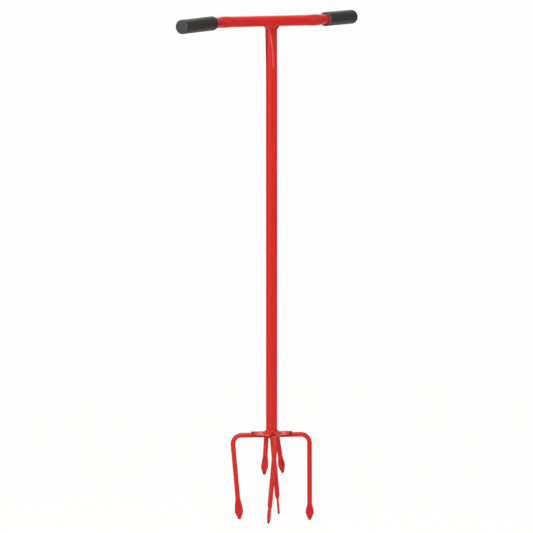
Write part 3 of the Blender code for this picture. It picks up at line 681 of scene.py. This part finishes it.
# From the plate to the shaft the bead's width falls by (1 - s)^1.25 while it rises by s^1.1.
angle = around(420)
share = np.linspace(0.0, 1.0, 22)[:, None]
size = uneven(angle, 1.3)[None]
ripple = coins(angle[None], foot_drops, 1.6 * share) - coin_mean
bulge = np.sin(math.pi * share) ** 0.7
out = foot_width * size * (1 - share) ** 1.25 + drop_swell * bulge * ripple
rise = foot_rise * size * share ** 1.1 + drop_rise * bulge * ripple
out = np.concatenate((out, out[:2] * 0 - foot_inside))
rise = np.concatenate((rise, rise[-1:], rise[:1] * 0 - foot_below))
grid = np.stack(((shaft_radius + out) * np.cos(angle), (shaft_radius + out) * np.sin(angle),
                 shaft_foot - foot_sink + rise), axis=-1)
# Painted shade: a little over the whole bead and more in the dips between the drops.
dips = np.concatenate((foot_dip_level - dip_share * ripple, ripple[:2] * 0))
shade = weld_shade + foot_dip_shade * dips
piece = surface("foot_weld_bead", grid + shaft_place, ring=True,
                thin=0.0, deep=np.clip(shade, 0.0, 1.0), forged=0.15, rub=0.0)
piece.data.materials.append(powder_coat("foot_weld_coat"))
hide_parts("foot_weld")
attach(piece, "root")

# The handle tube. One length of 21 mm steel tube, bent about 40 degrees one way round at each end
# so that two hands can turn it. It is a little taller than wide where the bender drew it, and
# painted shade darkens it along both sides but not on top or underneath.
corner_reach = 0.0955
end_run = 0.152
handle_bend_radius = 0.050
middle_end, handle_bend_begins, handle_bend_ends, tail_begins = 0.074, 0.0755, 0.116, 0.118
bender_draw = 0.07
side_shade, side_fade = 0.28, 1.3
underside_rise, underside_fade = -0.95, 0.45
handle_turns = {-1: math.radians(38.1), 1: math.radians(40.9)}
handle_droop = math.radians(0.6)
shift_left = 0.0045
grip_end_wall = 0.0045
handle_wall = 0.0016
handle_place = shaft_place + [0.0, 0.0, handle_height]


def handle_tail(side):
    """Direction in which one end of the handle runs out, before it is turned to its heading."""
    turn = handle_turns[side]
    return np.array([side * math.cos(turn) * math.cos(handle_droop),
                     side * math.sin(turn) * math.cos(handle_droop), -math.sin(handle_droop)])


def handle_corner(side):
    """Where the middle and one end run of the handle would meet."""
    return np.array([side * corner_reach - shift_left, 0.0, 0.0])


halves = []
for side in (-1, 1):
    start = np.array([-shift_left, 0.0, 0.0])
    corner = handle_corner(side)
    end = corner + handle_tail(side) * (end_run - grip_end_wall)
    whole = run_length(start, corner, end, handle_bend_radius)
    distances = np.concatenate((np.linspace(0.0, middle_end, 20),
                                np.linspace(handle_bend_begins, handle_bend_ends, 44),
                                np.linspace(tail_begins, whole, 30)))
    points, directions, share = rounded_run(start, corner, end, handle_bend_radius, distances)
    halves.append((points, directions * side, np.sin(math.pi * share)))
points, directions, draw = (np.concatenate((left[::-1], right[1:])) for left, right in zip(*halves))
across = unit(np.cross(directions, [0.0, 0.0, 1.0]))
upward = np.cross(across, directions)
columns = 96
narrower, taller = 1 - bender_draw * draw, 1 + bender_draw * draw
inner = handle_radius - handle_wall
outside = sections(points, across, upward, handle_radius * narrower, handle_radius * taller, columns)
bore = sections(points, across, upward, inner * narrower, inner * taller, columns)
grid = turned(np.concatenate((outside, bore[::-1])), handle_heading) + handle_place
# Painted shade along both sides of the tube, none on top or underneath.
rise = np.sin(around(columns))
sides = side_shade * (1 - ease(rise * side_fade)) * ease((rise - underside_rise) / underside_fade)
piece = surface("handle_tube_bent", grid, ring=True, thin=0.0, deep=sides[None], forged=0.05, rub=0.0)
piece.data.materials.append(powder_coat("handle_tube_coat"))
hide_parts("handle_tube")
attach(piece, "root")

# The weld between shaft and handle tube. It climbs onto the handle in front and behind, was drawn
# out into a long hollow flare on the left, and ends in a lump on the right.
weld_climb, weld_steepness = 0.0091, 1.6
weld_gap, weld_on_handle, weld_under_handle = 0.0001, 0.0003, 0.0006
weld_drop, weld_drop_left, weld_drop_right = 0.0058, 0.0006, 0.0010
weld_spread, weld_flare_left, weld_spread_right = 0.0016, 0.0048, 0.0016
weld_hollow, weld_hollow_drop, weld_lump = 0.0013, 0.0006, 0.0042
weld_drops, weld_ripple = 23, 0.00035
weld_inside, weld_inside_half, weld_inside_depth = 0.0012, 0.008, 0.0050
weld_dip_level, weld_dip_shade, weld_lump_shade, weld_flare_glint = 0.5, 0.35, 0.5, 0.20


def on_handle(aside):
    """Height of the handle tube's underside at a distance aside from its centre line."""
    return handle_height - np.sqrt(handle_radius ** 2 - aside ** 2)


# The bead is a quadratic curve in each direction, from its foot on the shaft towards a corner and
# on to its top on the handle. Left and right are powers of the cosine.
columns = 360
angle = around(columns)
wide, deep = shaft_halves(np.array([shaft_top]))
tube = 1 / np.hypot(np.cos(angle) / wide, np.sin(angle) / deep)
left = np.maximum(-np.cos(angle), 0.0) ** 6
right = np.maximum(np.cos(angle), 0.0) ** 5
drop = (weld_drop + weld_drop_right * right + weld_drop_left * left) * uneven(angle, 2.0)
foot = np.stack(((tube + weld_gap) * np.cos(angle), (tube + weld_gap) * np.sin(angle),
                 shaft_top - drop), axis=-1)
spread = weld_spread + weld_flare_left * left + weld_spread_right * right
spread = tube + spread * uneven(angle, 0.4)
aside = weld_climb * np.tanh(weld_steepness * spread * np.sin(angle) / weld_climb)
top = np.stack((spread * np.cos(angle), aside, on_handle(aside) + weld_on_handle), axis=-1)
corner = np.stack(((tube + weld_hollow) * np.cos(angle), (tube + weld_hollow) * np.sin(angle),
                   angle * 0 + shaft_top - weld_hollow_drop), axis=-1)
lump = np.stack((np.cos(angle), np.sin(angle) * 0.6, angle * 0 - 0.5), axis=-1)
corner = corner + lump * (weld_lump * right)[:, None]
share = np.linspace(0.0, 1.0, 30)[:, None]
weights = ((1 - share) ** 2, 2 * share * (1 - share), share ** 2)
grid = sum(weight[..., None] * points for weight, points in zip(weights, (foot, corner, top)))
ripple = coins(angle[None], weld_drops, 1.4 * share) - coin_mean
ripple = ripple * np.sin(math.pi * share) ** 0.7
bulge = unit(np.stack((np.cos(angle), np.sin(angle), angle * 0 - 0.4), axis=-1))
grid = grid + bulge[None] * (ripple * weld_ripple)[..., None]
inner = tube - weld_inside
aside = np.clip(inner * np.sin(angle), -weld_inside_half, weld_inside_half)
hidden = np.stack((inner * np.cos(angle), aside, on_handle(aside) + weld_under_handle), axis=-1)
hidden_foot = np.stack((hidden[:, 0], hidden[:, 1], angle * 0 + shaft_top - weld_inside_depth), axis=-1)
grid = np.concatenate((grid, hidden[None], hidden_foot[None])) + shaft_bow
grid = turned(grid, handle_heading) + shaft_place
# Painted shade in the dips between the drops and on the lump at the right, and a painted highlight on
# the flare at the left.
dips = np.concatenate((weld_dip_level - dip_share * ripple, ripple[:2] * 0))
shade = weld_shade + weld_dip_shade * dips + weld_lump_shade * right[None]
piece = surface("handle_weld_bead", grid, ring=True, thin=0.0,
                deep=np.clip(shade, 0.0, 1.0), forged=0.15, rub=weld_flare_glint * left[None])
piece.data.materials.append(powder_coat("handle_weld_coat"))
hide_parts("handle_weld")
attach(piece, "root")

# The two grips. Soft black PVC, moulded closed at the outer end and pushed on wet. A painted grey
# sheen stands for light reflected from the lip of the mouth and from the flat end, and the end has
# the small nib of the mould's gate with a painted glint, a ring moulded round it and a painted
# highlight along its rim.
grip_radius = 0.01386
grip_length = 0.112
grip_edge = 0.0022
grip_clearance = 0.00005
grip_ripple, grip_ripple_length = 0.003, 0.037
ripple_begins, ripple_end_gap, ripple_fade = 0.003, 0.004, 0.01
mouth_rows = [0.006, 0.003, 0.0008, 0.0]
mouth_flares = [0.0, 0.00005, 0.0001, 0.0002]
mouth_round = 0.0010
bore_radius = handle_radius + grip_clearance
gate_aside = 0.0047
gate_radius, gate_height = 0.0008, 0.00034
gate_ring, gate_ring_width, gate_ring_depth = 0.0015, 0.0006, 0.00030
end_dish = 0.0002
rim_glint_from, rim_glint_radius, rim_glint_width = 0.11, 0.0121, 0.0006
rim_glint_towards, rim_glint_spread = 2.5, 1.6
lip_bloom, lip_bloom_ends, lip_bloom_fade = 0.85, 0.0011, 0.0007
end_bloom, end_bloom_depth = 0.31, 0.0004
gate_bloom, gate_bloom_width, worn_bloom = 0.7, 0.0009, 0.45
scuff_run = 0.003
pvc_black, pvc_soft_black = (0.0245, 0.0216, 0.0190, 1.0), (0.0318, 0.0284, 0.0250, 1.0)
pvc_scuffed, pvc_bloomed = (0.060, 0.057, 0.052, 1.0), (0.125, 0.138, 0.142, 1.0)
cloud_size, scuff_size, scuff_strength = 0.022, 0.003, 0.5
grain_size, grain_height = 0.0006, 0.00002
flow_size, flow_height = 0.009, 0.00018
pvc_roughness, cloud_roughness, scuff_roughness = 0.32, 0.08, 0.12


def soft_pvc(name):
    """Black PVC with the dull skin of the mould, faint flow marks and a painted grey sheen.

    Scuff and the painted sheen, which stands for reflected light and glints, are measures of the
    surface, from 0 to 1.
    """
    pvc = Finish(name, Specular_IOR_Level=0.24)
    cloud = pvc.noise(cloud_size, 4.0).above(0.35, 0.65)
    colour = pvc.blend(cloud, pvc_black, pvc_soft_black)
    scuff = pvc.measure("scuff") * pvc.noise(scuff_size, 3.0).above(0.4, 0.7) * scuff_strength
    colour = pvc.blend(scuff, colour, pvc_scuffed)
    # Painted reflection: the bloom measure turns the PVC grey where light is reflected.
    colour = pvc.blend(pvc.measure("bloom"), colour, pvc_bloomed)
    pvc.feed(pvc.shader.inputs["Base Color"], colour)
    grain = pvc.relief(pvc.noise(grain_size, 2.0), grain_height)
    grain = pvc.relief(pvc.noise(flow_size, 2.0), flow_height, grain)
    pvc.feed(pvc.shader.inputs["Normal"], grain)
    roughness = pvc_roughness + cloud * cloud_roughness + pvc.measure("scuff") * scuff_roughness
    pvc.feed(pvc.shader.inputs["Roughness"], roughness)
    return pvc.material


# The profile starts inside the mouth and goes over its lip, along the body, round the edge to the
# middle of the flat end, and back along the inside of the end wall.
quarter = np.linspace(0.0, math.pi / 2, 12)
disc = np.linspace(grip_radius - grip_edge, 0.0, 46)[1:]
body = np.linspace(mouth_round, grip_length - grip_edge, 80)[1:-1]
end_wall = grip_length - grip_end_wall
along = np.concatenate((mouth_rows, mouth_round * (1 - np.cos(quarter)), body,
                        grip_length - grip_edge + grip_edge * np.sin(quarter),
                        disc * 0 + grip_length, [end_wall, end_wall]))
radius = np.concatenate((bore_radius + np.array(mouth_flares),
                         grip_radius - mouth_round + mouth_round * np.sin(quarter),
                         body * 0 + grip_radius,
                         grip_radius - grip_edge + grip_edge * np.cos(quarter),
                         disc, [0.0, bore_radius]))
rippled = ease((along - ripple_begins) / ripple_fade)
rippled = rippled * ease((grip_length - ripple_end_gap - along) / ripple_fade)
# Painted reflection on the lip of the mouth and on the flat end.
bloom = lip_bloom * ease((lip_bloom_ends - along) / lip_bloom_fade)
bloom = bloom + end_bloom * (along >= grip_length - end_bloom_depth)
on_disc = (along >= grip_length - 1e-9)[:, None]
at_end = (along > rim_glint_from)[:, None]
columns = 96
angle = around(columns)

for name, side in (("grip_left", -1), ("grip_right", 1)):
    tail = handle_tail(side)
    across = unit(np.cross(tail, [0.0, 0.0, 1.0]))
    upward = np.cross(across, tail)
    mouth = handle_corner(side) + tail * (end_run - grip_length - grip_clearance)
    wave = 1 - grip_ripple * (1 + np.sin(2 * math.pi * along / grip_ripple_length + side)) * rippled
    flat_x = (radius * wave)[:, None] * np.cos(angle)
    flat_y = (radius * wave)[:, None] * np.sin(angle)
    from_gate = np.hypot(flat_x + gate_aside * side, flat_y)
    ring = gate_ring_depth * hump(from_gate - gate_ring, gate_ring_width)
    gate = gate_height * np.exp(-(from_gate / gate_radius) ** 4) - ring
    reach = along[:, None] + on_disc * (gate - end_dish)
    # Painted highlight along one side of the end's rim, and a painted glint on the gate's nib.
    rim_glint = ease(rim_glint_spread * np.cos(angle - rim_glint_towards)) * at_end
    rim_glint = hump(radius - rim_glint_radius, rim_glint_width)[:, None] * rim_glint
    sheen_and_glints = bloom[:, None] + worn_bloom * rim_glint + gate_bloom * hump(from_gate, gate_bloom_width) * on_disc
    grid = mouth + tail * reach[..., None] + across * flat_x[..., None] + upward * flat_y[..., None]
    piece = surface(name + "_moulded", turned(grid, handle_heading) + handle_place, ring=True,
                    scuff=hump(along - grip_length, scuff_run)[:, None], bloom=sheen_and_glints)
    piece.data.materials.append(soft_pvc(name + "_pvc"))
    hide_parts(name)
    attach(piece, "root")

# The studio. A white floor lies round the tool and stays white for the camera apart from a faint
# shadow. Soft light comes from boxes in front, at both sides, behind and overhead.
white = (1.0, 1.0, 1.0, 1.0)
floor_half = 2.4
floor_colour = (0.90, 0.84, 0.79, 1.0)
floor_glow, floor_glow_share = 1.01, 0.95
sky_on_tool, sky_for_camera = 0.34, 0.99

floor_mesh = bpy.data.meshes.new("floor")
floor_mesh.from_pydata([(-floor_half, -floor_half, 0), (floor_half, -floor_half, 0),
                        (floor_half, floor_half, 0), (-floor_half, floor_half, 0)], [], [(0, 1, 2, 3)])
floor = bpy.data.objects.new("floor", floor_mesh)
bpy.context.scene.collection.objects.link(floor)
paper = Finish("floor_paper", Roughness=0.9, Base_Color=floor_colour, Specular_IOR_Level=0.1)
seen = paper.node("LightPath", {}, {}, "Is Camera Ray")
glow = paper.node("Emission", {}, {"Color": white, "Strength": floor_glow})
lit = Reading(paper, paper.shader.outputs[0])
mixed = paper.node("MixShader", {}, {0: seen * floor_glow_share, 1: lit, 2: glow})
paper.feed(paper.tree.nodes["Material Output"].inputs["Surface"], mixed)
floor_mesh.materials.append(paper.material)

world = bpy.data.worlds.new("studio")
bpy.context.scene.world = world
world.use_nodes = True
backdrop = world.node_tree.nodes["Background"]
backdrop.inputs["Color"].default_value = white
path = world.node_tree.nodes.new("ShaderNodeLightPath")
level = world.node_tree.nodes.new("ShaderNodeMapRange")
level.inputs["To Min"].default_value = sky_on_tool
level.inputs["To Max"].default_value = sky_for_camera
world.node_tree.links.new(path.outputs["Is Camera Ray"], level.inputs["Value"])
world.node_tree.links.new(level.outputs["Result"], backdrop.inputs["Strength"])

# The soft boxes aim at the middle of the tool. Each has its heading and elevation in degrees as
# seen from there, its distance, the side of its square and its brightness.
aim_height = 0.50
softboxes = (
    ("key_softbox", -130.5, 25.0, 2.6, 2.2, 1.26),
    ("front_softbox", -93.5, 47.0, 2.6, 1.2, 3.80),
    ("upper_left_softbox", -130.5, 50.0, 2.6, 1.4, 1.70),
    ("right_softbox", -20.5, 20.0, 2.6, 1.8, 0.62),
    ("back_softbox", 84.5, 30.0, 2.8, 2.2, 0.60),
    ("upper_back_softbox", 84.5, 65.0, 2.6, 1.4, 1.10),
    ("overhead_softbox", -95.5, 80.0, 2.6, 1.6, 0.50),
    ("left_softbox", 174.5, 60.0, 2.6, 1.2, 0.50),
)
for name, heading, elevation, distance, size, brightness in softboxes:
    lamp = bpy.data.lights.new(name, "AREA")
    lamp.shape = "SQUARE"
    lamp.size = size
    lamp.energy = brightness * math.pi * size ** 2
    holder = bpy.data.objects.new(name, lamp)
    reach = distance * math.cos(math.radians(elevation))
    lift = distance * math.sin(math.radians(elevation))
    holder.location = turned(np.array([reach, 0.0, aim_height + lift]), heading)
    holder.rotation_euler = (math.radians(90.0 - elevation), 0.0, math.radians(heading + 90.0))
    holder.visible_camera = False
    bpy.context.scene.collection.objects.link(holder)

# The camera. A long lens 12 m in front, pitched 5.8 degrees down, with the tool turned 5.5
# degrees to it, gives the photograph's nearly flat view.
pitch = math.radians(5.8)
turn = -5.5
camera = bpy.data.cameras.new("camera")
camera.sensor_width = 36.0
camera.lens = 415.2
camera.clip_end = 200.0
viewer = bpy.data.objects.new("camera", camera)
aside, distance, target_height = -0.00996, 12.0, 0.4992
back, lift = distance * math.cos(pitch), distance * math.sin(pitch)
viewer.location = shaft_place + turned(np.array([aside, -back, target_height + lift]), turn)
viewer.rotation_euler = (math.pi / 2 - pitch, 0.0, math.radians(turn))
bpy.context.scene.collection.objects.link(viewer)
bpy.context.scene.camera = viewer
bpy.context.scene.view_settings.view_transform = "Standard"
